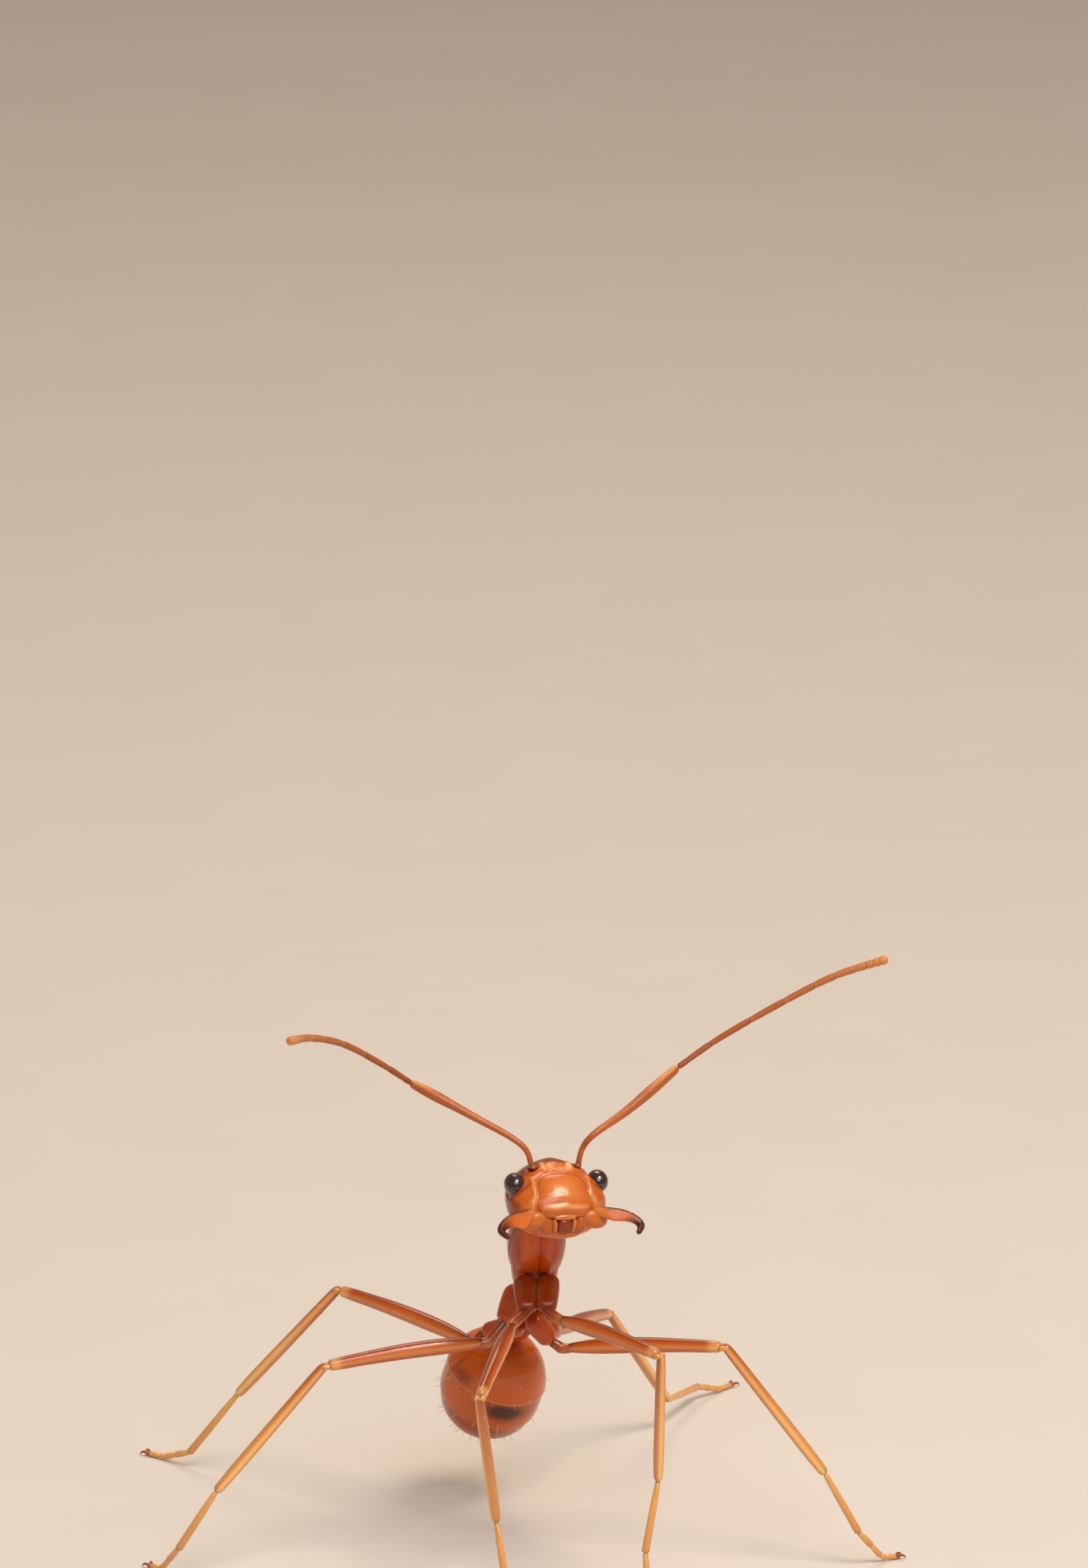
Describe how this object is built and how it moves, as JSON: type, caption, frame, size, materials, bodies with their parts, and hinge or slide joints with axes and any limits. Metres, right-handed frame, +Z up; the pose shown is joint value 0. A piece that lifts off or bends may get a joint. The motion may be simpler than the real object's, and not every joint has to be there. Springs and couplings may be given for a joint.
{
  "type": "weaver ant",
  "caption": "Life-size still model of a weaver ant worker, standing alert with its head high, jaws open and long feelers raised.",
  "frame": {"origin": "middle of the model's box on the floor plane, between the six feet", "axes": "+Z up; the ant faces -Y and its own left side is +X"},
  "size_m": [0.0126, 0.0114, 0.0104],
  "materials": {
    "head_shell": "smooth glossy bright orange shell, slightly see-through",
    "trunk_shell": "glossy red-brown shell",
    "gaster_shell": "glossy orange-brown plates with fine pale hairs",
    "leg_shell": "glossy amber shell, slightly see-through",
    "feeler_shell": "satin orange-brown shell",
    "jaw_shell": "glossy dark red-brown shell",
    "eye_lens": "glossy near-black compound eye"
  },
  "bodies": {
    "root": {"coxa_front_left": "trunk_shell", "coxa_front_right": "trunk_shell", "coxa_hind_left": "trunk_shell", "coxa_hind_right": "trunk_shell", "coxa_middle_left": "trunk_shell", "coxa_middle_right": "trunk_shell", "eye_left": "eye_lens", "eye_right": "eye_lens", "femur_front_left": "leg_shell", "femur_front_right": "leg_shell", "femur_hind_left": "leg_shell", "femur_hind_right": "leg_shell", "femur_middle_left": "leg_shell", "femur_middle_right": "leg_shell", "funiculus_left": "feeler_shell", "funiculus_right": "feeler_shell", "gaster_segment_1": "gaster_shell", "gaster_segment_2": "gaster_shell", "gaster_segment_3": "gaster_shell", "gaster_segment_4": "gaster_shell", "head": "head_shell", "mandible_left": "jaw_shell", "mandible_right": "jaw_shell", "mesothorax": "trunk_shell", "mouthparts": "head_shell", "petiole": "trunk_shell", "propodeum": "trunk_shell", "prothorax": "trunk_shell", "scape_left": "feeler_shell", "scape_right": "feeler_shell", "tarsus_front_left": "leg_shell", "tarsus_front_right": "leg_shell", "tarsus_hind_left": "leg_shell", "tarsus_hind_right": "leg_shell", "tarsus_middle_left": "leg_shell", "tarsus_middle_right": "leg_shell", "tibia_front_left": "leg_shell", "tibia_front_right": "leg_shell", "tibia_hind_left": "leg_shell", "tibia_hind_right": "leg_shell", "tibia_middle_left": "leg_shell", "tibia_middle_right": "leg_shell"}
  },
  "joints": []
}
